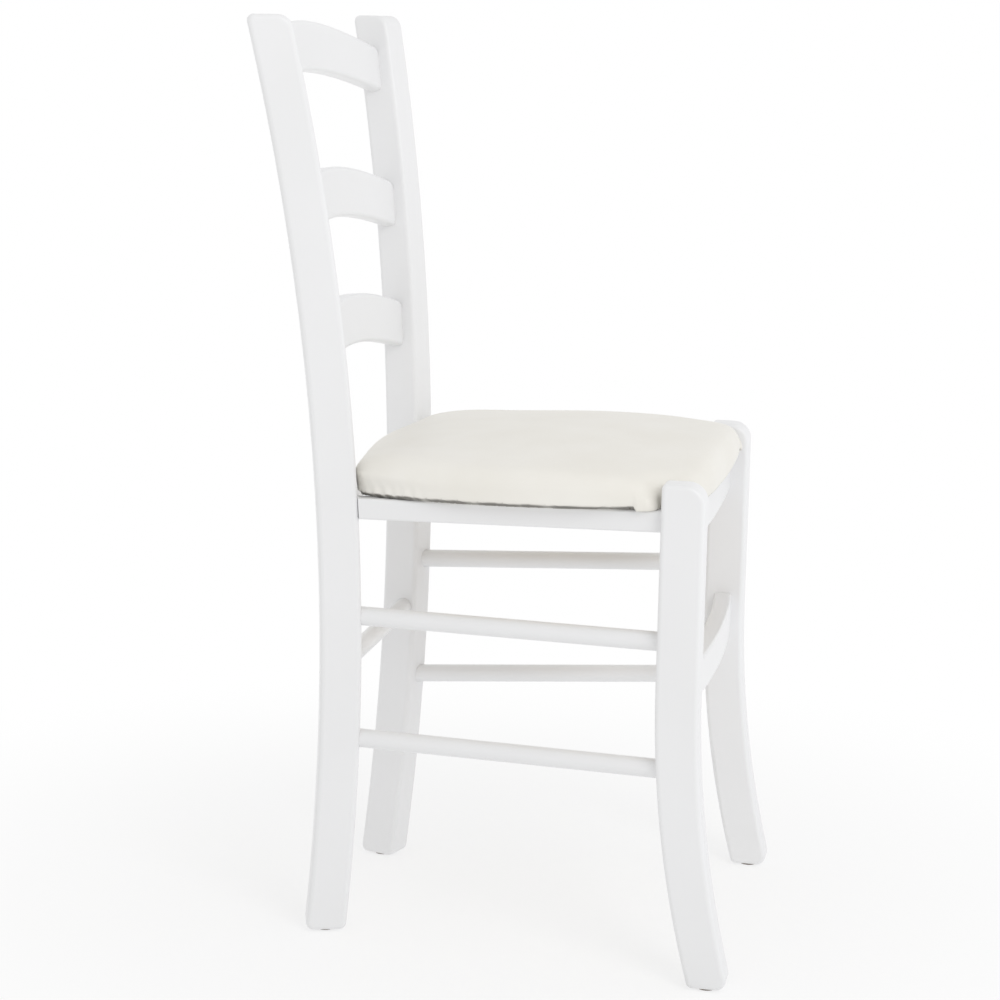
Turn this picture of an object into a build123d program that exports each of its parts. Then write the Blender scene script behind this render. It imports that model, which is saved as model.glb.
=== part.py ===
from build123d import *
import os
from math import atan2, cos, radians, sin, sqrt, tan

# Ladder-back dining chair with a padded seat. Millimetres, +Z up, the sitter faces -Y.
# Left and right are the sitter's own, so left is +X.

# Whole chair
chair_height = 880.0
seat_frame_height = 447.0
joint_clearance = 0.1

# Rear posts: flat boards sawn to one long curve, turned in plan and splayed apart upwards
post_width = 39.0
post_thickness = 32.0
post_curve_radius = 2750.0
post_belly_height = 256.0
post_turn = 17.6
post_splay = 4.2
post_floor_x = 115.4
post_floor_y = 163.4
post_edge_radius = 4.5
post_top_front_radius = 14.0
post_top_back_radius = 6.0
post_foot_radius = 7.0

# Front legs: straight above, swept forward to the foot
leg_center_x = 184.9
leg_center_y = -174.3
leg_width = 40.0
leg_thickness = 30.0
leg_above_frame = 26.5
leg_bend_height = 282.0
leg_front_sweep_radius = 1073.0
leg_back_sweep_radius = 1044.0
leg_edge_radius = 4.5
leg_top_front_radius = 18.0
leg_top_back_radius = 4.8
leg_foot_front_radius = 10.0
leg_foot_back_radius = 5.0

# Back slats, lowest first: how far each slat's middle lies below the tops of the posts
slat_drops = {"lower_slat": 295.6, "middle_slat": 170.3, "top_slat": 29.3}
slat_heights = {name: chair_height - drop for name, drop in slat_drops.items()}
slat_height = 49.2
slat_thickness = 16.0
slat_setback = 13.8
slat_bow_radius = 660.0
slat_top_arch_radius = 515.0
slat_bottom_arch_radius = 580.0
slat_corner_radius = 10.0
slat_edge_radius = 4.0
slat_tenon_length = 14.0
slat_tenon_height = 26.0
slat_tenon_thickness = 9.0

# Round stretchers: height at the post, height at the leg
side_stretcher_heights = {"upper_side_stretcher": (320.0, 325.0), "lower_side_stretcher": (197.5, 205.0)}
stretcher_diameter = 18.0
stretcher_seat_depth = 16.0
stretcher_post_shift = 5.0
stretcher_leg_shift = 5.0
rear_stretcher_height = 270.5
rear_stretcher_setback = 13.0

# Front stretcher: flat board bowed forward
front_stretcher_low = 259.5
front_stretcher_height = 36.0
front_stretcher_thickness = 17.5
front_stretcher_bow_radius = 1800.0
front_stretcher_front_setback = 12.0
front_stretcher_edge_radius = 2.5
front_stretcher_tenon_height = 24.0
board_tenon_thickness = 9.0
board_tenon_length = 15.0

# Seat frame: its top plane drops towards the back
seat_tilt = 2.0
front_rail_height = 38.0
front_rail_thickness = 20.0
front_rail_bow_radius = 3200.0
front_rail_front_setback = 17.0
front_rail_edge_radius = 2.5
front_rail_tenon_height = 14.0
front_rail_tenon_rise = 4.0
side_rail_height = 20.0
side_rail_width = 18.0
side_rail_leg_shift = 7.0
side_rail_post_shift = 6.0
side_rail_edge_radius = 2.5
side_rail_tenon_height = 11.0
side_rail_tenon_width = 9.0
side_rail_tenon_length = 13.0
rear_rail_height = 20.0
rear_rail_thickness = 18.0
rear_rail_setback = 17.0
rear_rail_edge_radius = 2.5
rear_rail_tenon_height = 11.0
rear_rail_tenon_thickness = 8.0
rear_rail_tenon_length = 13.0

# Padded seat, measured on the seat plane from the back faces of the front legs
pad_front_overhang = 40.0
pad_front_radius = 1830.0
pad_half_width = 193.0
pad_widest_behind = 76.0
pad_side_radius = 512.0
pad_back_reach = 313.0
pad_back_radius = 560.0
pad_rear_corner_radius = 24.0
pad_front_corner_radius = 18.0
pad_notch_corner_radius = 4.5
pad_leg_gap_side = 3.5
pad_leg_gap_back = 6.0
pad_crown_height = 51.0
pad_crown_behind = 131.0
pad_crown_radius_across = 1150.0
pad_crown_radius_along = 1060.0
pad_edge_radius = 16.5
pad_under_radius = 3.0
cover_thickness = 1.5
cover_hem_width = 44.0
pad_layer_clearance = 0.2
seat_board_thickness = 10.0
foam_over_board_edge = 4.0

# Fixings and feet
staple_count = 28
staple_width = 10.0
staple_wire = 1.0
staple_leg_length = 8.0
staple_from_hem_edge = 5.0
screw_shares = (0.2, 0.8)
screw_shank_diameter = 4.0
screw_head_diameter = 8.0
screw_head_height = 2.5
screw_bite = 8.0
screw_counterbore_diameter = 9.0
screw_counterbore_depth = 6.0
glide_diameter = 18.0
glide_thickness = 2.0
glide_pin_diameter = 2.4
glide_pin_length = 10.0

# Directions of the left rear post's board
turn = radians(post_turn)
splay = radians(post_splay)
up = Vector(0, 0, 1)
post_back = Vector(sin(turn), cos(turn), 0)
post_out = Vector(cos(turn), -sin(turn), 0)
post_up = post_out * sin(splay) + up * cos(splay)
post_normal = post_back.cross(post_up)
post_foot = Vector(post_floor_x, post_floor_y, 0)
post_half_level = post_thickness / 2 / cos(splay)

# Faces of the left front leg
leg_back_y = leg_center_y + leg_width / 2
leg_front_y = leg_center_y - leg_width / 2
leg_inner_x = leg_center_x - leg_thickness / 2
leg_top_height = seat_frame_height + leg_above_frame

# Seat plane: its origin is midway between the legs' back faces, on the frame's top
tilt = radians(seat_tilt)
seat_plane = Plane(
    origin=(0, leg_back_y, seat_frame_height), x_dir=(1, 0, 0), z_dir=(0, sin(tilt), cos(tilt))
)


def board_height(z):
    return z / cos(splay)


def post_curve(v, behind):
    rise = v - board_height(post_belly_height)
    return post_curve_radius - sqrt((post_curve_radius - behind) ** 2 - rise ** 2)


def post_point(z, behind, out):
    v = board_height(z)
    return post_foot + post_back * post_curve(v, behind) + post_up * v + post_out * out


def post_lean(z):
    rise = board_height(z) - board_height(post_belly_height)
    along = post_back * (rise / post_curve_radius) + post_up
    return along.normalized()


def mirrored(shape):
    return mirror(shape, about=Plane.YZ)


def inner_post_plane(extra):
    return Plane(origin=post_foot - post_out * post_half_level + post_normal * extra, z_dir=post_normal)


def between_posts(shape, extra):
    left_plane = inner_post_plane(extra)
    right_normal = Vector(-post_normal.X, post_normal.Y, post_normal.Z)
    right_origin = Vector(-left_plane.origin.X, left_plane.origin.Y, left_plane.origin.Z)
    shape = split(shape, bisect_by=left_plane, keep=Keep.BOTTOM)
    return split(shape, bisect_by=Plane(origin=right_origin, z_dir=right_normal), keep=Keep.BOTTOM)


def corner_rounded(face, near, radius):
    corner = face.vertices().sort_by_distance(near)[0]
    return fillet(corner, radius=radius)


def side_edges_rounded(solid, normal, radius):
    sides = solid.faces().filter_by(GeomType.PLANE)
    sides = sides.filter_by(lambda face: abs(face.normal_at().dot(normal)) > 0.999)
    return fillet(sides.edges(), radius=radius)


def long_edges_rounded(solid, radius):
    # the edges that run across the chair are those with their middle on the centre plane
    across = solid.edges().filter_by(lambda edge: abs(edge.position_at(0.5).X) < 1)
    return fillet(across, radius=radius)


def bowed_face(half_length, radius, thickness, side):
    # side +1 bows the ends towards +Y of the sketch, -1 towards -Y; the front face passes the origin
    def arc(r, shift):
        sag = r - sqrt(r ** 2 - half_length ** 2)
        end_y = shift + side * sag
        return ThreePointArc((-half_length, end_y), (0, shift), (half_length, end_y))

    front = arc(radius, 0)
    back = arc(radius - side * thickness, thickness)
    return make_face([front, Line(front @ 1, back @ 1), back, Line(back @ 0, front @ 0)])


def bar_between(start, end, radius):
    axis_plane = Plane(origin=start, z_dir=end - start)
    return axis_plane * Cylinder(
        radius, (end - start).length, align=(Align.CENTER, Align.CENTER, Align.MIN)
    )


def make_post():
    half = post_width / 2
    low = board_height(glide_thickness)
    high = board_height(chair_height)
    middle = (low + high) / 2
    front = ThreePointArc(*[(post_curve(v, -half), v) for v in (low, middle, high)])
    back = ThreePointArc(*[(post_curve(v, half), v) for v in (low, middle, high)])
    outline = make_face([front, Line(front @ 1, back @ 1), back, Line(back @ 0, front @ 0)])
    outline = corner_rounded(outline, front @ 1, post_top_front_radius)
    outline = corner_rounded(outline, back @ 1, post_top_back_radius)
    outline = corner_rounded(outline, front @ 0, post_foot_radius)
    outline = corner_rounded(outline, back @ 0, post_foot_radius)
    inner = Plane(origin=post_foot - post_out * post_half_level, x_dir=post_back, z_dir=post_normal)
    board = extrude(inner * outline, amount=2 * post_half_level, dir=post_out)
    return side_edges_rounded(board, post_normal, post_edge_radius)


def leg_sweep(radius, z):
    drop = max(leg_bend_height - z, 0)
    return radius - sqrt(radius ** 2 - drop ** 2)


def leg_edge(face_y, radius):
    foot_z = glide_thickness
    middle_z = (leg_bend_height + foot_z) / 2
    points = [(face_y - leg_sweep(radius, z), z) for z in (foot_z, middle_z, leg_bend_height)]
    swept = ThreePointArc(*points)
    return swept, Line(swept @ 1, (face_y, leg_top_height))


def make_leg():
    front_swept, front_straight = leg_edge(leg_front_y, leg_front_sweep_radius)
    back_swept, back_straight = leg_edge(leg_back_y, leg_back_sweep_radius)
    top = Line(front_straight @ 1, back_straight @ 1)
    foot = Line(front_swept @ 0, back_swept @ 0)
    outline = make_face([front_swept, front_straight, top, back_straight, back_swept, foot])
    outline = corner_rounded(outline, front_straight @ 1, leg_top_front_radius)
    outline = corner_rounded(outline, back_straight @ 1, leg_top_back_radius)
    outline = corner_rounded(outline, front_swept @ 0, leg_foot_front_radius)
    outline = corner_rounded(outline, back_swept @ 0, leg_foot_back_radius)
    inner = Plane(origin=(leg_inner_x, 0, 0), x_dir=(0, 1, 0), z_dir=(1, 0, 0))
    board = extrude(inner * outline, amount=leg_thickness)
    return side_edges_rounded(board, Vector(1, 0, 0), leg_edge_radius)


def slat_end(z):
    return post_point(z, slat_setback - post_width / 2, -post_half_level)


def slat_frame(z):
    # origin at the middle of the slat's front face; the slat leans as the posts do at its height
    lean = post_lean(z)
    lean_up = Vector(0, lean.Y, lean.Z).normalized()
    backward = Vector(0, lean_up.Z, -lean_up.Y)
    bow = slat_bow_radius - sqrt(slat_bow_radius ** 2 - slat_end(z).X ** 2)
    end = slat_end(z - backward.Z * bow)
    origin = Vector(0, end.Y, end.Z) + backward * bow
    return Plane(origin=origin, x_dir=(1, 0, 0), z_dir=lean_up), end.X


def arched_face(half_length, height, top_radius, bottom_radius):
    def arc(r, shift):
        end_z = shift - (r - sqrt(r ** 2 - half_length ** 2))
        return ThreePointArc((-half_length, end_z), (0, shift), (half_length, end_z))

    top = arc(top_radius, height / 2)
    bottom = arc(bottom_radius, -height / 2)
    return make_face([top, Line(top @ 1, bottom @ 1), bottom, Line(bottom @ 0, top @ 0)])


def slat_blank(z, thickness, height, grow):
    frame, end_x = slat_frame(z)
    half_length = end_x + slat_tenon_length + slat_thickness
    inset = (slat_thickness - thickness) / 2 - grow
    plan = Pos(0, inset) * bowed_face(half_length, slat_bow_radius + inset, thickness + 2 * grow, -1)
    band = extrude(frame * plan, amount=2 * slat_height, both=True)
    elevation = arched_face(
        half_length, height + 2 * grow, slat_top_arch_radius + grow, slat_bottom_arch_radius - grow
    )
    front = Plane(origin=frame.origin, x_dir=(1, 0, 0), z_dir=-frame.y_dir)
    arch = extrude(front * elevation, amount=slat_bow_radius / 2, both=True)
    return band & arch


def slat_corner_cutter(z, end_face):
    # what lies outside a round corner between the slat's top and the left post
    frame, end_x = slat_frame(z)
    corner = end_face.edges().sort_by(Axis(frame.origin, frame.z_dir))[-1].center()
    fall = end_x / slat_top_arch_radius
    top_line = frame.z_dir * fall - frame.x_dir * sqrt(1 - fall ** 2)
    inward = -post_normal
    angle = atan2(top_line.dot(post_up), top_line.dot(inward))
    reach = slat_corner_radius * (1 - sin(angle)) / cos(angle)
    center = corner + inward * slat_corner_radius - post_up * reach
    section = Plane(origin=center, x_dir=inward, z_dir=inward.cross(post_up))
    marks = [corner - post_up * reach, corner, corner + top_line * reach]
    points = [section.to_local_coords(mark) * 1.5 for mark in marks]
    sector = make_face(Polyline((0, 0), *[(point.X, point.Y) for point in points], close=True))
    return extrude(section * (sector - Circle(slat_corner_radius)), amount=slat_height, both=True)


def make_slat(z):
    body = between_posts(slat_blank(z, slat_thickness, slat_height, 0), 0)
    end_face = body.faces().filter_by(GeomType.PLANE).sort_by(Axis.X)[-1]
    cutter = slat_corner_cutter(z, end_face)
    body = long_edges_rounded(body, slat_edge_radius) - cutter - mirrored(cutter)
    return body + slat_tenons(z, 0)


def slat_tenons(z, grow):
    blank = slat_blank(z, slat_tenon_thickness, slat_tenon_height, grow)
    return between_posts(blank, slat_tenon_length + grow)


def bowed_board(front_y, low, height, thickness, radius, edge_radius):
    sag = radius - sqrt(radius ** 2 - leg_inner_x ** 2)
    plan = Pos(0, front_y - sag) * bowed_face(leg_inner_x, radius, thickness, 1)
    board = Pos(0, 0, low) * extrude(plan, amount=height)
    return long_edges_rounded(board, edge_radius)


def board_tenons(center_y, low, height, grow):
    length = 2 * (leg_inner_x + board_tenon_length + grow)
    thickness = board_tenon_thickness + 2 * grow
    return Pos(0, center_y, low + height / 2) * Box(length, thickness, height + 2 * grow)


def make_front_stretcher():
    front_y = leg_front_y + front_stretcher_front_setback
    return bowed_board(
        front_y, front_stretcher_low, front_stretcher_height, front_stretcher_thickness,
        front_stretcher_bow_radius, front_stretcher_edge_radius,
    )


def front_stretcher_tenons(grow):
    center_y = leg_front_y + front_stretcher_front_setback + front_stretcher_thickness / 2
    low = front_stretcher_low + (front_stretcher_height - front_stretcher_tenon_height) / 2
    return board_tenons(center_y, low, front_stretcher_tenon_height, grow)


def make_front_rail():
    front_y = leg_front_y + front_rail_front_setback
    low = seat_frame_height - front_rail_height
    return bowed_board(
        front_y, low, front_rail_height, front_rail_thickness, front_rail_bow_radius,
        front_rail_edge_radius,
    )


def front_rail_tenons(grow):
    center_y = leg_front_y + front_rail_front_setback + front_rail_thickness / 2
    low = seat_frame_height - front_rail_height + front_rail_tenon_rise
    return board_tenons(center_y, low, front_rail_tenon_height, grow)


def side_rail_ends():
    # middle of the rail's top where it meets the leg and the post
    front = Vector(leg_center_x - side_rail_leg_shift, leg_back_y, seat_frame_height)
    post_face = post_point(seat_frame_height, -post_width / 2, side_rail_post_shift)
    drop = (post_face.Y - leg_back_y) * tan(tilt)
    rear = post_point(seat_frame_height - drop, -post_width / 2, side_rail_post_shift)
    return front, Vector(rear.X, rear.Y, seat_frame_height - drop)


def side_rail_frame():
    front, rear = side_rail_ends()
    along = (rear - front).normalized()
    return Plane(origin=(front + rear) / 2, x_dir=along, z_dir=seat_plane.z_dir), (rear - front).length


def side_rail_bar(width, height, extra):
    frame, length = side_rail_frame()
    bar = Box(length + 2 * extra, width, height)
    return frame * Pos(0, 0, -side_rail_height / 2) * bar


def make_side_rail():
    _, rear = side_rail_ends()
    body = side_rail_bar(side_rail_width, side_rail_height, side_rail_width)
    frame, _ = side_rail_frame()
    edges = body.edges().filter_by(Axis(frame.origin, frame.x_dir))
    body = fillet(edges, radius=side_rail_edge_radius)
    body = split(body, bisect_by=Plane(origin=(0, leg_back_y, 0), z_dir=(0, 1, 0)), keep=Keep.TOP)
    facing = post_out.cross(post_lean(rear.Z))
    if facing.Y > 0:
        facing = -facing
    body = split(body, bisect_by=Plane(origin=rear, z_dir=facing), keep=Keep.TOP)
    return body + side_rail_tenons(0)


def side_rail_tenons(grow):
    return side_rail_bar(
        side_rail_tenon_width + 2 * grow, side_rail_tenon_height + 2 * grow, side_rail_tenon_length + grow
    )


def rear_rail_center():
    post_y = post_point(seat_frame_height, 0, 0).Y
    top_z = seat_frame_height - (post_y - leg_back_y) * tan(tilt)
    behind = rear_rail_setback + (rear_rail_thickness - post_width) / 2
    center_z = top_z - rear_rail_height / 2
    return post_point(center_z, behind, -post_half_level)


def rear_rail_bar(thickness, height):
    center = rear_rail_center()
    length = 2 * (center.X + rear_rail_tenon_length + rear_rail_thickness)
    return Pos(0, center.Y, center.Z) * Box(length, thickness, height)


def make_rear_rail():
    body = rear_rail_bar(rear_rail_thickness, rear_rail_height)
    body = between_posts(long_edges_rounded(body, rear_rail_edge_radius), 0)
    return body + rear_rail_tenons(0)


def rear_rail_tenons(grow):
    bar = rear_rail_bar(rear_rail_tenon_thickness + 2 * grow, rear_rail_tenon_height + 2 * grow)
    return between_posts(bar, rear_rail_tenon_length + grow)


def side_stretcher_axis(heights):
    post_z, leg_z = heights
    rear = post_point(post_z, -post_width / 2, stretcher_post_shift)
    front_y = leg_back_y - leg_sweep(leg_back_sweep_radius, leg_z)
    front = Vector(leg_center_x - stretcher_leg_shift, front_y, leg_z)
    return front, rear


def side_stretcher(heights, grow):
    front, rear = side_stretcher_axis(heights)
    along = (rear - front).normalized() * (stretcher_seat_depth + grow)
    return bar_between(front - along, rear + along, stretcher_diameter / 2 + grow)


def rear_stretcher(grow):
    face = post_point(rear_stretcher_height, rear_stretcher_setback - post_width / 2, -post_half_level)
    reach = face.X + stretcher_seat_depth + grow
    start = Vector(-reach, face.Y, face.Z)
    end = Vector(reach, face.Y, face.Z)
    return bar_between(start, end, stretcher_diameter / 2 + grow)


def pad_outline(inset):
    def disc(x, y, radius):
        return Pos(x, y) * Circle(radius - inset)

    def notch(side):
        width = pad_half_width
        x = side * (leg_inner_x - pad_leg_gap_side - inset + width / 2)
        depth = pad_front_overhang * 2
        y = pad_leg_gap_back + inset - depth / 2
        return Pos(x, y) * Rectangle(width, depth)

    side_x = pad_half_width - pad_side_radius
    face = disc(0, pad_front_radius - pad_front_overhang, pad_front_radius)
    face = face & disc(side_x, pad_widest_behind, pad_side_radius)
    face = face & disc(-side_x, pad_widest_behind, pad_side_radius)
    face = face & disc(0, pad_back_reach - pad_back_radius, pad_back_radius)
    face = face - notch(1) - notch(-1)
    inner_x = leg_inner_x - pad_leg_gap_side - inset
    behind_leg = pad_leg_gap_back + inset
    rear_radius = max(pad_rear_corner_radius - inset, 1)
    front_radius = max(pad_front_corner_radius - inset, 1)
    notch_radius = pad_notch_corner_radius + min(inset, 2 * cover_thickness)
    for side in (1, -1):
        face = corner_rounded(face, (side * pad_half_width, pad_back_reach), rear_radius)
        face = corner_rounded(face, (side * inner_x, behind_leg), notch_radius)
        face = corner_rounded(face, (side * pad_half_width, behind_leg), front_radius)
        face = corner_rounded(face, (side * inner_x, inset - pad_front_overhang), front_radius)
    return face


def pad_dome(inset):
    # a barrel top: one arc across the seat, turned about a level axis far below it
    radius = pad_crown_radius_across - inset
    half = pad_half_width + pad_front_overhang
    crown = pad_crown_height - inset
    edge_z = crown - (radius - sqrt(radius ** 2 - half ** 2))
    arc = ThreePointArc((-half, edge_z), (0, crown), (half, edge_z))
    floor_z = -crown / 2
    sides = [Line(arc @ 1, (half, floor_z)), Line((half, floor_z), (-half, floor_z))]
    profile = make_face([arc, *sides, Line((-half, floor_z), arc @ 0)])
    axis_z = pad_crown_height - pad_crown_radius_along
    upright = Plane(origin=(0, pad_crown_behind, 0), x_dir=(1, 0, 0), z_dir=(0, -1, 0))
    axis = Axis((0, pad_crown_behind, axis_z), (1, 0, 0))
    sweep_angle = 44
    start = (upright * profile).rotate(axis, -sweep_angle / 2)
    return revolve(start, axis=axis, revolution_arc=sweep_angle)


def pad_form(inset, base):
    block = Pos(0, 0, base) * extrude(pad_outline(inset), amount=pad_crown_height)
    form = block & pad_dome(inset)
    rim = form.faces().sort_by(Axis.Z)[-1].edges()
    return fillet(rim, radius=pad_edge_radius - inset)


def make_cover():
    outer = pad_form(0, 0)
    outer = fillet(outer.faces().sort_by(Axis.Z)[0].edges(), radius=pad_under_radius)
    core = pad_form(cover_thickness, cover_thickness)
    opening = extrude(pad_outline(cover_hem_width), amount=cover_thickness)
    return seat_plane * (outer - core - opening)


def seat_board_form(grow):
    outline = pad_outline(cover_thickness + pad_layer_clearance + foam_over_board_edge - grow)
    return Pos(0, 0, cover_thickness) * extrude(outline, amount=seat_board_thickness)


def make_seat_board():
    return seat_plane * seat_board_form(0)


def make_foam():
    # the foam lies on the board and laps over its edge
    form = pad_form(cover_thickness + pad_layer_clearance, cover_thickness)
    return seat_plane * (form - seat_board_form(pad_layer_clearance))


def make_staple():
    crown = Pos(0, 0, -staple_wire / 2) * Box(staple_width, staple_wire, staple_wire)
    leg_x = (staple_width - staple_wire) / 2
    leg = Box(staple_wire, staple_wire, staple_leg_length, align=(Align.CENTER, Align.CENTER, Align.MIN))
    return crown + Pos(leg_x, 0, 0) * leg + Pos(-leg_x, 0, 0) * leg


def make_staples():
    path = pad_outline(cover_hem_width - staple_from_hem_edge).face().outer_wire()
    staple = make_staple()
    placed = []
    for index in range(staple_count):
        share = (index + 0.5) / staple_count
        spot = Plane(origin=path.position_at(share), x_dir=path.tangent_at(share), z_dir=(0, 0, 1))
        placed.append(seat_plane * spot * staple)
    return placed


def screw_spots():
    front, rear = side_rail_ends()
    return [front + (rear - front) * share for share in screw_shares]


def screw_plane(spot):
    return Plane(origin=spot, x_dir=(1, 0, 0), z_dir=seat_plane.z_dir)


def make_screw(spot):
    base = (Align.CENTER, Align.CENTER, Align.MIN)
    head_low = screw_counterbore_depth - side_rail_height - screw_head_height
    head = Pos(0, 0, head_low) * Cylinder(screw_head_diameter / 2, screw_head_height, align=base)
    shank_low = head_low + screw_head_height
    shank_length = cover_thickness + screw_bite - shank_low
    shank = Pos(0, 0, shank_low) * Cylinder(screw_shank_diameter / 2, shank_length, align=base)
    return screw_plane(spot) * (head + shank)


def screw_holes(spot):
    base = (Align.CENTER, Align.CENTER, Align.MIN)
    depth = side_rail_height
    bore = Pos(0, 0, -depth) * Cylinder(
        screw_shank_diameter / 2 + joint_clearance, depth + cover_thickness + screw_bite, align=base
    )
    mouth = Pos(0, 0, -depth) * Cylinder(
        screw_counterbore_diameter / 2, screw_counterbore_depth, align=base
    )
    return screw_plane(spot) * (bore + mouth)


def post_glide_spot():
    spot = post_point(glide_thickness, 0, 0)
    return Vector(spot.X, spot.Y, 0)


def leg_glide_spot():
    foot_z = glide_thickness
    front_y = leg_front_y - leg_sweep(leg_front_sweep_radius, foot_z) + leg_foot_front_radius
    back_y = leg_back_y - leg_sweep(leg_back_sweep_radius, foot_z) - leg_foot_back_radius
    return Vector(leg_center_x, (front_y + back_y) / 2, 0)


def glide_pin(spot, grow):
    pin = Cylinder(
        glide_pin_diameter / 2 + grow, glide_pin_length + grow, align=(Align.CENTER, Align.CENTER, Align.MIN)
    )
    return Pos(spot.X, spot.Y, glide_thickness) * pin


def make_glide(spot):
    disc = Cylinder(glide_diameter / 2, glide_thickness, align=(Align.CENTER, Align.CENTER, Align.MIN))
    return Pos(spot.X, spot.Y, 0) * disc + glide_pin(spot, 0)


post = make_post()
leg = make_leg()
slats = {name: make_slat(z) for name, z in slat_heights.items()}
front_rail = make_front_rail() + front_rail_tenons(0)
front_stretcher = make_front_stretcher() + front_stretcher_tenons(0)
rear_rail = make_rear_rail()
side_rail = make_side_rail()

# Mortises and drilled holes of the left post and leg
for z in slat_heights.values():
    post = post - slat_tenons(z, joint_clearance)
post = post - rear_rail_tenons(joint_clearance) - rear_stretcher(joint_clearance)
post = post - side_rail_tenons(joint_clearance) - glide_pin(post_glide_spot(), joint_clearance)
leg = leg - front_rail_tenons(joint_clearance) - front_stretcher_tenons(joint_clearance)
leg = leg - side_rail_tenons(joint_clearance) - glide_pin(leg_glide_spot(), joint_clearance)
for heights in side_stretcher_heights.values():
    post = post - side_stretcher(heights, joint_clearance)
    leg = leg - side_stretcher(heights, joint_clearance)

# Seat, with the holes for its screws and staples
cover = make_cover()
seat_board = make_seat_board()
staples = make_staples()
screws = []
for spot in screw_spots():
    holes = screw_holes(spot)
    side_rail = side_rail - holes
    for hole in (holes, mirrored(holes)):
        cover = cover - hole
        seat_board = seat_board - hole
    screws += [make_screw(spot), mirrored(make_screw(spot))]
for staple in staples:
    cover = cover - staple
    seat_board = seat_board - staple

glides = []
for spot in (post_glide_spot(), leg_glide_spot()):
    glides += [make_glide(spot), mirrored(make_glide(spot))]

nodes = {
    "rear_post_left": [post],
    "rear_post_right": [mirrored(post)],
    "front_leg_left": [leg],
    "front_leg_right": [mirrored(leg)],
    "front_seat_rail": [front_rail],
    "rear_seat_rail": [rear_rail],
    "side_seat_rail_left": [side_rail],
    "side_seat_rail_right": [mirrored(side_rail)],
    "front_stretcher": [front_stretcher],
    "rear_stretcher": [rear_stretcher(0)],
    "seat_board": [seat_board],
    "seat_foam": [make_foam()],
    "seat_cover": [cover],
    "cover_staples": staples,
    "seat_screws": screws,
    "foot_glides": glides,
}
for name, slat in slats.items():
    nodes[name] = [slat]
for name, heights in side_stretcher_heights.items():
    nodes[name + "_left"] = [side_stretcher(heights, 0)]
    nodes[name + "_right"] = [mirrored(side_stretcher(heights, 0))]

# The origin is on the floor, under the middle of the chair's box
everything = [solid for shapes in nodes.values() for shape in shapes for solid in shape.solids()]
box = Compound(everything).bounding_box()
to_origin = Pos(-box.center().X, -box.center().Y, -box.min.Z)
print("size", box.size, "moved by", to_origin.position)

os.makedirs("parts", exist_ok=True)
for name, shapes in nodes.items():
    solids = [to_origin * solid for shape in shapes for solid in shape.solids()]
    export_step(Compound(solids), f"parts/{name}.step")
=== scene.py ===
import bpy
import bmesh
import math
import numpy as np
from mathutils import Matrix, Vector
from mathutils.bvhtree import BVHTree
from mathutils.kdtree import KDTree


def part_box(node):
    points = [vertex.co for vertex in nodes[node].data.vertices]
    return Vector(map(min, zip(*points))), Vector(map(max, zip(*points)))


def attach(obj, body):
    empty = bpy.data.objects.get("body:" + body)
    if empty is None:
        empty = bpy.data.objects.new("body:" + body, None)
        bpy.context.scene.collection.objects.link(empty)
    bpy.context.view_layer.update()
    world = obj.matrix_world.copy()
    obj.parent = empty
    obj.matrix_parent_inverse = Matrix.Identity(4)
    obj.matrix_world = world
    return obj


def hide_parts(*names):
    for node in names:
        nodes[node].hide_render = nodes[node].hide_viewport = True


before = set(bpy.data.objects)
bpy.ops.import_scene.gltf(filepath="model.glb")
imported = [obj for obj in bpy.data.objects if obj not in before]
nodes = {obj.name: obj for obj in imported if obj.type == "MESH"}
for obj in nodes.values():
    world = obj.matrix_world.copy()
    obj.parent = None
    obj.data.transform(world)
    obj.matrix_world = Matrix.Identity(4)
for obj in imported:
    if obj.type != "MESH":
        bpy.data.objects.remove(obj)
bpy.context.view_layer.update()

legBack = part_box("front_leg_left")[1].y  # seat and camera are placed from the front legs' back faces
print("stage: frame loaded,", len(nodes), "nodes")


def newMaterial(name):
    material = bpy.data.materials.new(name)
    material.use_nodes = True
    tree = material.node_tree
    return material, tree, tree.nodes["Principled BSDF"]


def addNode(tree, kind, **values):
    # a value goes to the node's own setting of that name, or else to its socket
    node = tree.nodes.new(kind)
    for key, value in values.items():
        if hasattr(node, key):
            setattr(node, key, value)
        else:
            node.inputs[key].default_value = value
    return node


def stretched(tree, scale):
    coords = addNode(tree, "ShaderNodeTexCoord")
    mapping = addNode(tree, "ShaderNodeMapping", Scale=scale)
    tree.links.new(coords.outputs["Object"], mapping.inputs["Vector"])
    return mapping.outputs["Vector"]


def noise(tree, vector, scale, detail, roughness=0.5):
    node = addNode(tree, "ShaderNodeTexNoise", Scale=scale, Detail=detail, Roughness=roughness)
    tree.links.new(vector, node.inputs["Vector"])
    return node.outputs["Fac"]


def ramp(tree, factor, *stops):
    node = addNode(tree, "ShaderNodeValToRGB")
    for element, (place, color) in zip(node.color_ramp.elements, stops):
        element.position = place
        element.color = (*color, 1)
    tree.links.new(factor, node.inputs["Fac"])
    return node.outputs["Color"]


def remap(tree, factor, low, high):
    node = addNode(tree, "ShaderNodeMapRange")
    node.inputs["To Min"].default_value = low
    node.inputs["To Max"].default_value = high
    tree.links.new(factor, node.inputs["Value"])
    return node.outputs["Result"]


def mixed(tree, factor):
    # a colour mix whose two colours are still to be set
    node = addNode(tree, "ShaderNodeMix", data_type="RGBA")
    tree.links.new(factor, node.inputs[0])
    return node


def bump(tree, height, strength, distance, before=None):
    node = addNode(tree, "ShaderNodeBump", Strength=strength, Distance=distance)
    tree.links.new(height, node.inputs["Height"])
    if before:
        tree.links.new(before, node.inputs["Normal"])
    return node.outputs["Normal"]


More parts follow.
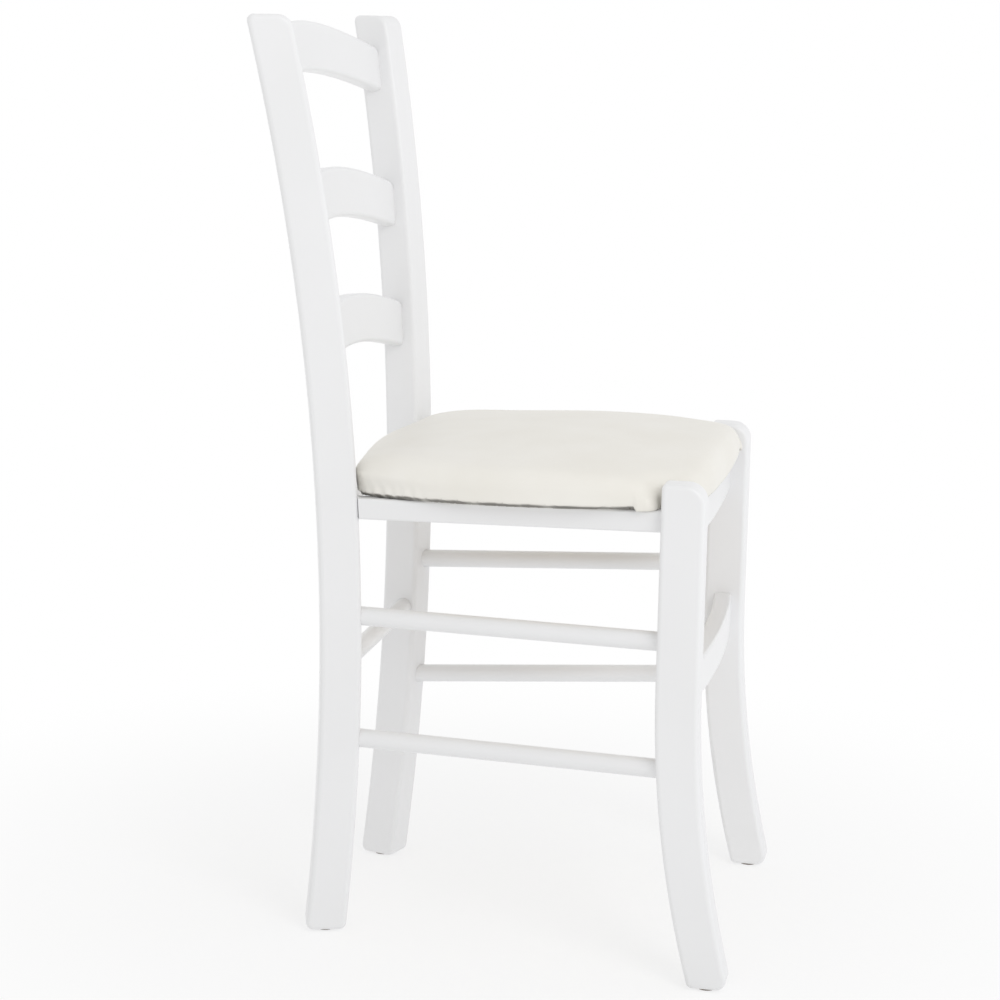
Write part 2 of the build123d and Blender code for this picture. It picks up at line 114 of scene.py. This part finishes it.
# white satin lacquer: faint grain showing through along the piece, slight orange peel, uneven sheen
lacquer = {
    "pale": (0.865, 0.866, 0.872), "deep": (0.848, 0.849, 0.853), "cloud": 9.0, "rough": (0.30, 0.42),
    "grain": {"X": (6, 110, 110), "Y": (110, 6, 110), "Z": (110, 110, 6)}, "grainBump": (0.10, 0.0006),
    "peel": 420.0, "peelBump": (0.05, 0.0003), "gloss": 0.42, "coat": 0.12, "coatRough": 0.25,
}


def lacquerMaterial(axis):
    material, tree, shader = newMaterial("whiteLacquer" + axis)
    even = stretched(tree, (1, 1, 1))
    cloud = noise(tree, even, lacquer["cloud"], 3.0)
    tone = ramp(tree, cloud, (0.3, lacquer["deep"]), (0.7, lacquer["pale"]))
    tree.links.new(tone, shader.inputs["Base Color"])
    tree.links.new(remap(tree, cloud, *lacquer["rough"]), shader.inputs["Roughness"])
    grain = noise(tree, stretched(tree, lacquer["grain"][axis]), 1.0, 6.0, 0.6)
    peel = noise(tree, even, lacquer["peel"], 2.0)
    normal = bump(tree, grain, *lacquer["grainBump"])
    normal = bump(tree, peel, *lacquer["peelBump"], normal)
    tree.links.new(normal, shader.inputs["Normal"])
    shader.inputs["Specular IOR Level"].default_value = lacquer["gloss"]
    shader.inputs["Coat Weight"].default_value = lacquer["coat"]
    shader.inputs["Coat Roughness"].default_value = lacquer["coatRough"]
    return material


# cream faux leather: fine pebble grain, faint cloudy tone, and a painted shade, dark grey-brown, where it
# turns under at the lower edge
leather = {
    "pale": (0.885, 0.866, 0.815), "deep": (0.85, 0.826, 0.765), "cloud": 14.0, "rough": (0.40, 0.52),
    # lip colour: painted shade where the cover turns under at the lower edge
    "lipShade": (0.24, 0.23, 0.21), "pebble": 620.0, "pebbleBump": (0.12, 0.0004),
    "crease": 90.0, "creaseBump": (0.08, 0.0008), "gloss": 0.35,
}


def leatherMaterial():
    material, tree, shader = newMaterial("creamFauxLeather")
    even = stretched(tree, (1, 1, 1))
    cloud = noise(tree, even, leather["cloud"], 3.0)
    tone = ramp(tree, cloud, (0.3, leather["deep"]), (0.7, leather["pale"]))
    # painted shade: the attribute marks the turned-under lip, mixed towards the dark colour
    lipShade = addNode(tree, "ShaderNodeAttribute", attribute_name="lipShade")
    turned = mixed(tree, lipShade.outputs["Fac"])
    turned.inputs["B"].default_value = (*leather["lipShade"], 1)
    tree.links.new(tone, turned.inputs["A"])
    tree.links.new(turned.outputs["Result"], shader.inputs["Base Color"])
    tree.links.new(remap(tree, cloud, *leather["rough"]), shader.inputs["Roughness"])
    pebble = addNode(tree, "ShaderNodeTexVoronoi", Scale=leather["pebble"], feature="SMOOTH_F1")
    tree.links.new(even, pebble.inputs["Vector"])
    crease = noise(tree, even, leather["crease"], 6.0, 0.6)
    normal = bump(tree, pebble.outputs["Distance"], *leather["pebbleBump"])
    normal = bump(tree, crease, *leather["creaseBump"], normal)
    tree.links.new(normal, shader.inputs["Normal"])
    shader.inputs["Specular IOR Level"].default_value = leather["gloss"]
    return material


# bare plywood: long streaks across the seat, paler and darker bands, and a dark sawn edge, darker than the
# end grain alone as painted shade for the gap under the pad's edge
plywood = {
    # edge colour: partly the end grain's own darker tone, partly painted shade
    "pale": (0.68, 0.57, 0.42), "deep": (0.55, 0.45, 0.32), "edge": (0.13, 0.10, 0.075),
    "streaks": (3, 60, 60), "rough": (0.6, 0.8), "bump": (0.2, 0.0006),
}


def plywoodMaterial():
    material, tree, shader = newMaterial("barePlywood")
    grain = noise(tree, stretched(tree, plywood["streaks"]), 1.0, 8.0, 0.65)
    tone = ramp(tree, grain, (0.35, plywood["deep"]), (0.65, plywood["pale"]))
    facing = addNode(tree, "ShaderNodeNewGeometry")
    parts = addNode(tree, "ShaderNodeSeparateXYZ")
    flat = addNode(tree, "ShaderNodeMath", operation="ABSOLUTE")
    tree.links.new(facing.outputs["Normal"], parts.inputs[0])
    tree.links.new(parts.outputs["Z"], flat.inputs[0])
    # upright faces get the dark edge colour: real end grain, darkened further as painted shade
    sawnEdgeAndShade = mixed(tree, flat.outputs[0])
    sawnEdgeAndShade.inputs["A"].default_value = (*plywood["edge"], 1)
    tree.links.new(tone, sawnEdgeAndShade.inputs["B"])
    tree.links.new(sawnEdgeAndShade.outputs["Result"], shader.inputs["Base Color"])
    tree.links.new(remap(tree, grain, *plywood["rough"]), shader.inputs["Roughness"])
    tree.links.new(bump(tree, grain, *plywood["bump"]), shader.inputs["Normal"])
    return material


# bright steel of the staples and screws, with fine drawn lines
wire = {"pale": (0.68, 0.68, 0.67), "deep": (0.5, 0.5, 0.49), "lines": (60, 900, 900), "rough": (0.28, 0.45)}


def steelMaterial():
    material, tree, shader = newMaterial("brightSteel")
    grain = noise(tree, stretched(tree, wire["lines"]), 1.0, 4.0)
    tone = ramp(tree, grain, (0.3, wire["deep"]), (0.7, wire["pale"]))
    tree.links.new(tone, shader.inputs["Base Color"])
    tree.links.new(remap(tree, grain, *wire["rough"]), shader.inputs["Roughness"])
    shader.inputs["Metallic"].default_value = 1.0
    return material


# matt brown plastic of the glides, slightly speckled
glide = {
    "pale": (0.17, 0.12, 0.085), "deep": (0.10, 0.065, 0.045), "speck": 260.0, "rough": (0.5, 0.75),
    "bump": (0.15, 0.0004),
}


def glideMaterial():
    material, tree, shader = newMaterial("brownPlastic")
    speck = noise(tree, stretched(tree, (1, 1, 1)), glide["speck"], 5.0)
    tone = ramp(tree, speck, (0.35, glide["deep"]), (0.7, glide["pale"]))
    tree.links.new(tone, shader.inputs["Base Color"])
    tree.links.new(remap(tree, speck, *glide["rough"]), shader.inputs["Roughness"])
    tree.links.new(bump(tree, speck, *glide["bump"]), shader.inputs["Normal"])
    return material


def dress(obj, material):
    obj.data.materials.clear()
    obj.data.materials.append(material)


alongX = lacquerMaterial("X")
alongY = lacquerMaterial("Y")
alongZ = lacquerMaterial("Z")
skin = leatherMaterial()
ply = plywoodMaterial()
steel = steelMaterial()
brown = glideMaterial()
finishes = {
    "seat_cover": skin, "seat_foam": skin, "seat_board": ply, "cover_staples": steel, "seat_screws": steel,
    "foot_glides": brown,
}
for name, node in nodes.items():
    if name in finishes:
        dress(node, finishes[name])
    elif "post" in name or "leg" in name:
        dress(node, alongZ)
    elif "side" in name:
        dress(node, alongY)
    else:
        dress(node, alongX)
print("stage: materials")


# seat pad, in the seat's own frame: x across, y back from the legs' back faces, z up from the frame's top
seat = {
    "height": 0.447, "tilt": math.radians(2), "voxel": 0.004,
    "coverReach": 0.009, "coverFacing": 0.25,  # how far, and how squarely, a point finds the cover
    "stiff": (0.008, 0.020), "smoothing": (16, 10), "shrink": 0.003, "swell": 0.0026,
    "rearCorner": (0.165, 0.275), "cornerSwell": 0.0085, "cornerSpread": 0.06,
    "near": 0.012, "clear": 0.0008,  # from posts and legs
    "wall": (0.004, 0.02), "upright": 0.4,  # heights and steepness that count as the lower edge's wall
    "underside": 0.008, "flatBelow": 0.004, "facingDown": -0.3,
    "hem": 0.052, "hemSlope": 0.008, "inBoard": 0.0034,
}
seatFrame = Matrix.Translation((0, legBack, seat["height"])) @ Matrix.Rotation(-seat["tilt"], 4, "X")
inPlan = np.array([1, 1, 0])


def readPoints(mesh):
    points = np.empty(len(mesh.vertices) * 3)
    mesh.vertices.foreach_get("co", points)
    return points.reshape(-1, 3)


def writePoints(mesh, points):
    mesh.vertices.foreach_set("co", points.ravel())
    mesh.update()


def readNormals(mesh):
    normals = np.empty(len(mesh.vertices) * 3)
    mesh.vertex_normals.foreach_get("vector", normals)
    return normals.reshape(-1, 3)


def smoothStep(value, low, high):
    share = np.clip((value - low) / (high - low), 0, 1)
    return share * share * (3 - 2 * share)


def withModifier(obj, kind, **values):
    # the object's mesh as one modifier makes it
    modifier = obj.modifiers.new(kind.lower(), kind)
    for key, value in values.items():
        setattr(modifier, key, value)
    graph = bpy.context.evaluated_depsgraph_get()
    mesh = bpy.data.meshes.new_from_object(obj.evaluated_get(graph))
    obj.modifiers.remove(modifier)
    return mesh


def padBlank():
    # the cover, foam and board solids as one closed skin, at rest in the seat's frame
    joined = bmesh.new()
    for name in ("seat_cover", "seat_foam", "seat_board"):
        joined.from_mesh(nodes[name].data)
    mesh = bpy.data.meshes.new("padBlank")
    joined.to_mesh(mesh)
    joined.free()
    mesh.transform(seatFrame.inverted())
    blank = bpy.data.objects.new("padBlank", mesh)
    bpy.context.scene.collection.objects.link(blank)
    skinMesh = withModifier(blank, "REMESH", mode="VOXEL", voxel_size=seat["voxel"])
    bpy.data.objects.remove(blank)
    return skinMesh


def nodeTree(name):
    mesh = nodes[name].data.copy()
    mesh.transform(seatFrame.inverted())
    tree = BVHTree.FromPolygons([v.co for v in mesh.vertices], [p.vertices for p in mesh.polygons])
    bpy.data.meshes.remove(mesh)
    return tree


def onCover(points, normals):
    # the nearest place on the cover's outer side; a point with none near stays
    cover = nodeTree("seat_cover")
    found = points.copy()
    for index, (point, normal) in enumerate(zip(points, normals)):
        facing = Vector(normal)
        hits = cover.find_nearest_range(Vector(point), seat["coverReach"])
        hits = [hit for hit in hits if hit[1].dot(facing) > seat["coverFacing"]]
        if hits:
            found[index] = min(hits, key=lambda hit: hit[3])[0]
    return found


def relaxed(mesh, points, rounds, free):
    # each round moves a free point halfway to the middle of its neighbours
    edges = np.empty(len(mesh.edges) * 2, dtype=np.int64)
    mesh.edges.foreach_get("vertices", edges)
    a, b = edges.reshape(-1, 2).T
    count = np.bincount(a, minlength=len(points)) + np.bincount(b, minlength=len(points))
    for _ in range(rounds):
        total = np.zeros_like(points)
        np.add.at(total, a, points[b])
        np.add.at(total, b, points[a])
        points = points + free[:, None] * 0.5 * (total / count[:, None] - points)
    return points


# a few steps of cloth under air pressure; no point moves further than the cap
air = {"pressure": 4.0, "cap": 0.0055, "steps": 20, "quality": 5, "stretch": 20, "bend": 2, "pinned": 0.01}


def inflated(pad, soft):
    group = pad.vertex_groups.new(name="pinned")
    group.add([int(i) for i in np.nonzero(soft < air["pinned"])[0]], 1.0, "REPLACE")
    cloth = pad.modifiers.new("cloth", "CLOTH")
    settings = cloth.settings
    settings.vertex_group_mass = "pinned"
    settings.use_pressure = True
    settings.uniform_pressure_force = air["pressure"]
    settings.effector_weights.gravity = 0
    settings.quality = air["quality"]
    settings.tension_stiffness = air["stretch"]
    settings.compression_stiffness = air["stretch"]
    settings.bending_stiffness = air["bend"]
    cloth.point_cache.frame_start = 1
    cloth.point_cache.frame_end = air["steps"]
    start = readPoints(pad.data)
    for step in range(1, air["steps"] + 1):
        bpy.context.scene.frame_set(step)
    graph = bpy.context.evaluated_depsgraph_get()
    moved = readPoints(pad.evaluated_get(graph).data) - start
    pad.modifiers.remove(cloth)
    pad.vertex_groups.clear()
    bpy.context.scene.frame_set(1)
    length = np.linalg.norm(moved, axis=1)
    return start + moved * np.minimum(1, air["cap"] / np.maximum(length, 1e-9))[:, None]


def swollen(points, normals, soft):
    # a little fuller all over, most at the two rear corners
    x, y = np.abs(points[:, 0]), points[:, 1]
    toCorner = np.hypot(x - seat["rearCorner"][0], y - seat["rearCorner"][1])
    swell = seat["swell"] + seat["cornerSwell"] * np.exp(-(toCorner / seat["cornerSpread"]) ** 2)
    return points + normals * (swell * soft)[:, None]


def keptClear(points):
    # points that come too near to a post or leg go back to just off its face
    points = points.copy()
    for name in ("rear_post_left", "rear_post_right", "front_leg_left", "front_leg_right"):
        tree = nodeTree(name)
        for index, point in enumerate(points):
            spot, normal = tree.find_nearest(Vector(point), seat["near"])[:2]
            if spot is not None and (Vector(point) - spot).dot(normal) < seat["clear"]:
                points[index] = spot + normal * seat["clear"]
    return points


def lowWalls(points, normals):
    # the upright faces along the pad's lower edge, seen in plan, to measure inward from
    low, high = seat["wall"]
    isWall = (np.abs(normals[:, 2]) < seat["upright"]) & (points[:, 2] > low) & (points[:, 2] < high)
    walls = KDTree(int(isWall.sum()))
    for index in np.nonzero(isWall)[0]:
        walls.insert(points[index] * inPlan, int(index))
    walls.balance()
    return walls


def underside(points, normals, raw):
    # inside the hem the skin is sunk into the board, so that the board's own face shows
    points = points.copy()
    walls = lowWalls(points, normals)
    for index in np.nonzero(raw[:, 2] < seat["underside"])[0]:
        inward = walls.find(points[index] * inPlan)[2]
        facesDown = raw[index, 2] < seat["flatBelow"] and normals[index, 2] < seat["facingDown"]
        if inward > seat["underside"] or facesDown:
            sunk = (inward - seat["hem"]) / seat["hemSlope"] + 0.5
            points[index, 2] = seat["inBoard"] * min(1, max(0, sunk))
    return points


# lower edge, as the cover is pulled under: gathers drawn tightest near the rear corners, a narrow shadow gap
# above the rail, and the cover's spare leather folded over behind each front leg
edge = {
    "top": 0.03, "high": 0.016, "inward": 0.014,
    "middle": 0.13, "round": 0.17,  # a place along the edge is the angle about the pad's middle, as a length
    "corner": (0.158, 0.260), "spread": 0.034, "gather": 0.0008, "gathers": ((700, 1, 0), (483, 0.6, 1.3)),
    "slack": 0.0002, "sway": 0.0006, "sways": ((150, 1, 0), (263, 0.7, 0.8)),
    "lift": 0.0030, "lipRise": (0.0010, 0.0028), "lipTurn": (0.3, 0.8), "board": 0.0035, "boardRise": 0.0006,
    "foldSide": 0.155, "foldBack": 0.0255, "foldOut": 0.0017, "foldSquare": 0.004, "foldStep": 0.001,
    "foldHigh": 0.017, "foldFade": 0.005,
}


def waves(along, parts):
    return sum(size * math.sin(along * rate + start) for rate, size, start in parts)


def lowerEdge(points, normals):
    # the points with the lower edge shaped, and how far each takes the painted shade of the turned-under lip
    points = points.copy()
    lipShade = np.zeros(len(points))
    walls = lowWalls(points, normals)
    for index in np.nonzero(points[:, 2] < edge["top"])[0]:
        x, y, z = points[index]
        _, wall, inward = walls.find(points[index] * inPlan)
        outward = normals[wall] * inPlan
        outward = outward / max(np.linalg.norm(outward), 1e-6)
        along = math.atan2(y - edge["middle"], x) * edge["round"]
        toCorner = math.hypot(abs(x) - edge["corner"][0], y - edge["corner"][1])
        tight = math.exp(-(toCorner / edge["spread"]) ** 2)
        ripple = waves(along, edge["gathers"])
        sway = waves(along, edge["sways"])
        low = max(0, 1 - max(z, 0) / edge["high"]) * math.exp(-(inward / edge["inward"]) ** 2)
        push = edge["gather"] * tight * ripple + edge["slack"] * sway
        rise = edge["lift"] + edge["sway"] * (0.5 * sway + tight * ripple)
        if abs(x) > edge["foldSide"] and y < edge["foldBack"]:
            fold = min(1, (edge["foldBack"] - y) / edge["foldStep"])
            fold = fold * min(1, max(0, edge["foldHigh"] - z) / edge["foldFade"])
            atCorner = (2 * outward[0] * outward[1]) ** 2
            push = push + (edge["foldOut"] + edge["foldSquare"] * atCorner) * fold
            rise = rise * (1 - fold)
        rise = max(rise, 0) * low ** 2
        # painted shade mask: lifted, downward-facing skin at the lower edge
        lipShade[index] = smoothStep(rise, *edge["lipRise"]) * smoothStep(-normals[index, 2], *edge["lipTurn"])
        if inward > edge["board"]:
            rise = min(rise, edge["boardRise"])
        points[index] = points[index] + outward * push * (low ** 0.5) + np.array([0, 0, rise])
    return points, lipShade


padMesh = padBlank()
pad = bpy.data.objects.new("seat_pad_soft", padMesh)
bpy.context.scene.collection.objects.link(pad)
raw = readPoints(padMesh)
drawn = onCover(raw, readNormals(padMesh))
soft = smoothStep(drawn[:, 2], *seat["stiff"])
points = relaxed(padMesh, drawn, seat["smoothing"][0], soft)
writePoints(padMesh, points)
points = points - readNormals(padMesh) * (seat["shrink"] * soft)[:, None]
writePoints(padMesh, points)
points = inflated(pad, soft)
points = relaxed(padMesh, points, seat["smoothing"][1], soft)
writePoints(padMesh, points)
normals = readNormals(padMesh)
points = keptClear(swollen(points, normals, soft))
writePoints(padMesh, underside(points, normals, raw))
padMesh = withModifier(pad, "SUBSURF", levels=1)
pad.data = padMesh
points, lipShade = lowerEdge(readPoints(padMesh), readNormals(padMesh))
writePoints(padMesh, points)
# painted shade along the turned-under lower edge, stored for the leather to read
padMesh.attributes.new("lipShade", "FLOAT", "POINT").data.foreach_set("value", lipShade)
padMesh.transform(seatFrame)
dress(pad, skin)
for polygon in padMesh.polygons:
    polygon.use_smooth = True
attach(pad, "root")
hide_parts("seat_cover", "seat_foam")
print("stage: seat pad,", len(padMesh.vertices), "points")


def seenDirectly(tree):
    # 1 for rays that show the backdrop to the eye, straight on or by way of gloss or glass
    path = addNode(tree, "ShaderNodeLightPath")
    gloss = addNode(tree, "ShaderNodeMath", operation="MAXIMUM")
    both = addNode(tree, "ShaderNodeMath", operation="MAXIMUM")
    tree.links.new(path.outputs["Is Camera Ray"], gloss.inputs[0])
    tree.links.new(path.outputs["Is Glossy Ray"], gloss.inputs[1])
    tree.links.new(gloss.outputs[0], both.inputs[0])
    tree.links.new(path.outputs["Is Transmission Ray"], both.inputs[1])
    return both.outputs[0]


# plain pale floor, which keeps the chair's shadow close by and fades to plain white further out
ground = {
    "half": 40, "rough": 0.9, "gloss": 0.1, "seen": (0.985, 0.985, 0.985), "lit": (0.88, 0.88, 0.88),
    "fade": (0.2, 0.95), "plain": 0.6, "glow": 0.92,
}


def floorMaterial():
    material, tree, shader = newMaterial("paleFloor")
    shader.inputs["Roughness"].default_value = ground["rough"]
    shader.inputs["Specular IOR Level"].default_value = ground["gloss"]
    direct = seenDirectly(tree)
    color = ramp(tree, direct, (0.0, ground["lit"]), (1.0, ground["seen"]))
    tree.links.new(color, shader.inputs["Base Color"])
    place = addNode(tree, "ShaderNodeTexCoord")
    reach = addNode(tree, "ShaderNodeVectorMath", operation="LENGTH")
    fade = addNode(tree, "ShaderNodeMapRange", interpolation_type="SMOOTHSTEP")
    fade.inputs["From Min"].default_value = ground["fade"][0]
    fade.inputs["From Max"].default_value = ground["fade"][1]
    fade.inputs["To Min"].default_value = ground["plain"]
    plain = addNode(tree, "ShaderNodeEmission")
    blend = addNode(tree, "ShaderNodeMixShader")
    tree.links.new(remap(tree, direct, ground["glow"], 1.0), plain.inputs["Strength"])
    tree.links.new(place.outputs["Object"], reach.inputs[0])
    tree.links.new(reach.outputs["Value"], fade.inputs["Value"])
    tree.links.new(fade.outputs["Result"], blend.inputs[0])
    tree.links.new(shader.outputs[0], blend.inputs[1])
    tree.links.new(plain.outputs[0], blend.inputs[2])
    tree.links.new(blend.outputs[0], tree.nodes["Material Output"].inputs["Surface"])
    return material


floorMesh = bpy.data.meshes.new("floor")
half = ground["half"]
corners = [(-half, -half, 0), (half, -half, 0), (half, half, 0), (-half, half, 0)]
floorMesh.from_pydata(corners, [], [(0, 1, 2, 3)])
floor = bpy.data.objects.new("floor", floorMesh)
bpy.context.scene.collection.objects.link(floor)
dress(floor, floorMaterial())

# soft white surround, seen as plain white
surround = {"light": 0.75, "seen": 1.0}
world = bpy.data.worlds.new("surround")
world.use_nodes = True
bpy.context.scene.world = world
worldTree = world.node_tree
lit = worldTree.nodes["Background"]
lit.inputs["Color"].default_value = (1, 1, 1, 1)
lit.inputs["Strength"].default_value = surround["light"]
seen = addNode(worldTree, "ShaderNodeBackground")
seen.inputs["Color"].default_value = (1, 1, 1, 1)
seen.inputs["Strength"].default_value = surround["seen"]
either = addNode(worldTree, "ShaderNodeMixShader")
worldTree.links.new(seenDirectly(worldTree), either.inputs[0])
worldTree.links.new(lit.outputs[0], either.inputs[1])
worldTree.links.new(seen.outputs[0], either.inputs[2])
worldTree.links.new(either.outputs[0], worldTree.nodes["World Output"].inputs["Surface"])

# soft lamps: a key from the front right of the picture, a broad one above and a cool low one before the chair
lamps = {
    "key": {"at": (-2.2, -1.75, 2.3), "size": 1.6, "watts": 21.5, "tint": (1, 1, 1)},
    "top": {"at": (-0.5, -0.3, 3.0), "size": 2.4, "watts": 2, "tint": (1, 1, 1)},
    "front": {"at": (0.25, -2.1, 0.35), "size": 0.9, "watts": 2.6, "tint": (0.86, 0.9, 1)},
}
aim = Vector((0, 0, 0.42))  # the chair's middle
for name, lamp in lamps.items():
    data = bpy.data.lights.new(name, "AREA")
    data.shape = "DISK"
    data.size = lamp["size"]
    data.energy = lamp["watts"]
    data.color = lamp["tint"]
    obj = bpy.data.objects.new(name, data)
    obj.location = lamp["at"]
    obj.rotation_mode = "QUATERNION"
    obj.rotation_quaternion = (aim - Vector(lamp["at"])).to_track_quat("-Z", "Y")
    bpy.context.scene.collection.objects.link(obj)

# camera, from the photo's own perspective; turns are in radians, focal length and centre in pixels
view = {
    "from": (-2.43862, -0.29639, 0.88194), "yaw": 0.1971, "pitch": 0.18497, "roll": -0.02016,
    "focal": 2564.64, "centre": (495.62, 496.12), "image": 1000, "sensor": 36, "clip": (0.05, 120),
}
cosYaw, sinYaw = math.cos(view["yaw"]), math.sin(view["yaw"])
cosPitch, sinPitch = math.cos(view["pitch"]), math.sin(view["pitch"])
cosRoll, sinRoll = math.cos(view["roll"]), math.sin(view["roll"])
ahead = Vector((cosPitch * cosYaw, cosPitch * sinYaw, -sinPitch))
right = Vector((sinYaw, -cosYaw, 0))
down = ahead.cross(right)
cameraX = right * cosRoll + down * sinRoll
cameraY = right * sinRoll - down * cosRoll
facing = Matrix((cameraX, cameraY, -ahead)).transposed().to_4x4()
cameraData = bpy.data.cameras.new("camera")
cameraData.sensor_width = view["sensor"]
cameraData.lens = view["focal"] * view["sensor"] / view["image"]
cameraData.shift_x = 0.5 - view["centre"][0] / view["image"]
cameraData.shift_y = view["centre"][1] / view["image"] - 0.5
cameraData.clip_start, cameraData.clip_end = view["clip"]
camera = bpy.data.objects.new("camera", cameraData)
x, y, z = view["from"]
camera.matrix_world = Matrix.Translation((x, y + legBack, z)) @ facing
bpy.context.scene.collection.objects.link(camera)
bpy.context.scene.camera = camera
bpy.context.scene.view_settings.view_transform = "Standard"
print("stage: floor, light and camera")
